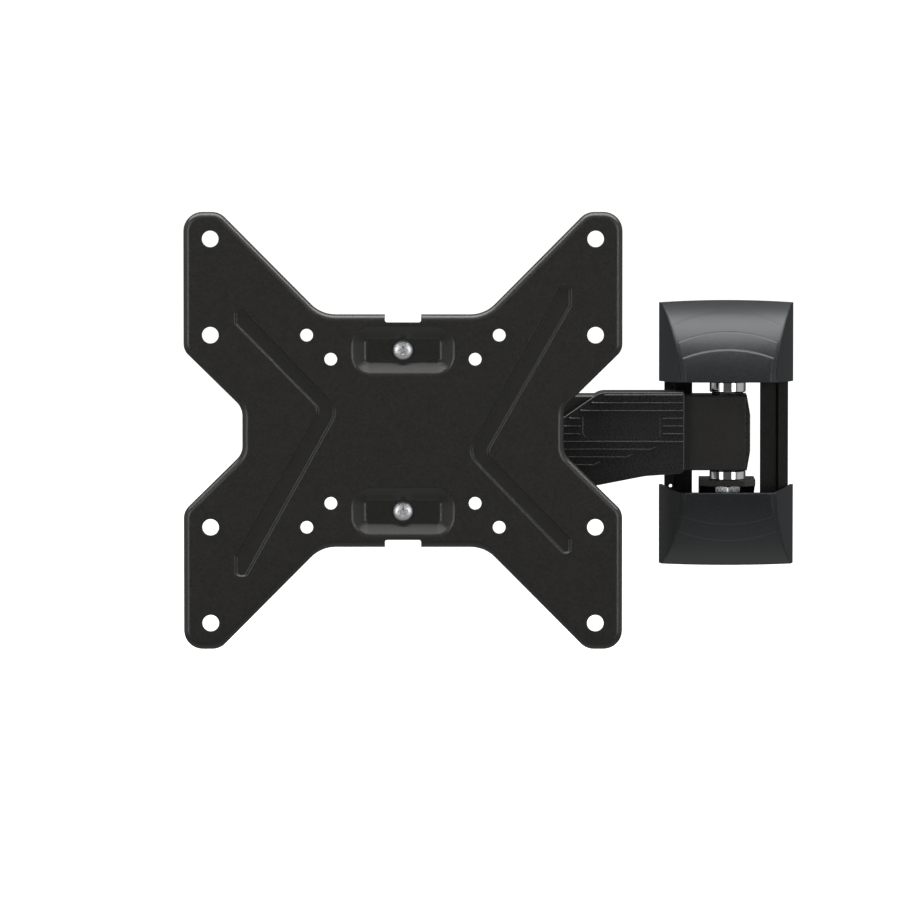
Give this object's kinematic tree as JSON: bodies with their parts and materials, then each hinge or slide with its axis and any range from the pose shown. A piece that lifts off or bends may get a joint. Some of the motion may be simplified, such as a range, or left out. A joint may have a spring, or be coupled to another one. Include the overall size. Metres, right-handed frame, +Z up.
{
  "type": "television wall mount",
  "caption": "Full-motion television wall mount: a swinging arm on a covered wall plate carries an X-shaped screen plate that swivels, tilts and levels.",
  "frame": {"origin": "the middle of the wall plate's back face, on the wall, at the centre of its screw holes", "axes": "+X to the right along the wall, +Y into the wall, +Z up; at rest the arm lies flat along the wall towards -X"},
  "size_m": [0.3195, 0.078, 0.2276],
  "materials": {
    "black_steel": "fine-textured black powder coat, satin",
    "black_abs": "black moulded ABS with a fine satin grain",
    "chrome_spacer": "bright chrome plating",
    "zinc_steel": "bright zinc plating",
    "black_nylon": "black nylon, as moulded"
  },
  "bodies": {
    "wall_bracket": {"wall_plate": "black_steel", "upper_wall_cover": "black_abs", "lower_wall_cover": "black_abs", "wall_pivot_bolt": "zinc_steel", "wall_pivot_washer": "zinc_steel", "wall_pivot_nut": "zinc_steel", "wall_upper_spacer": "chrome_spacer", "wall_lower_spacer": "chrome_spacer"},
    "arm": {"arm_tube": "black_steel", "arm_cover": "black_abs", "wall_end_cap": "black_abs", "head_end_cap": "black_abs", "wall_thrust_washers": "black_nylon", "head_thrust_washers": "black_nylon", "wall_pivot_bushes": "black_nylon", "head_pivot_bushes": "black_nylon"},
    "head": {"swivel_bracket": "black_steel", "head_pivot_bolt": "zinc_steel", "head_pivot_washer": "zinc_steel", "head_pivot_nut": "zinc_steel", "head_upper_spacer": "chrome_spacer", "head_lower_spacer": "chrome_spacer", "tilt_friction_washers": "black_nylon"},
    "tilter": {"tilt_bracket": "black_steel", "tilt_bolts": "zinc_steel", "tilt_washers": "zinc_steel", "tilt_nuts": "zinc_steel"},
    "plate": {"vesa_plate": "black_steel", "plate_bolts": "zinc_steel", "plate_washers": "zinc_steel", "plate_nuts": "zinc_steel"}
  },
  "joints": [
    {"name": "wall_swivel", "type": "hinge", "parent": "wall_bracket", "child": "arm", "pos_m": [0, -0.03, 0.0024], "axis": [0, 0, 1], "range_deg": [0, 180]},
    {"name": "head_swivel", "type": "hinge", "parent": "arm", "child": "head", "pos_m": [-0.17, -0.03, 0.0024], "axis": [0, 0, 1], "range_deg": [-180, 0]},
    {"name": "tilt", "type": "hinge", "parent": "head", "child": "tilter", "pos_m": [-0.17, -0.0595, 0.0057], "axis": [1, 0, 0], "range_deg": [-5, 15]},
    {"name": "level", "type": "hinge", "parent": "tilter", "child": "plate", "pos_m": [-0.17, -0.071, 0.0057], "axis": [0, 1, 0], "range_deg": [-3, 3]}
  ]
}
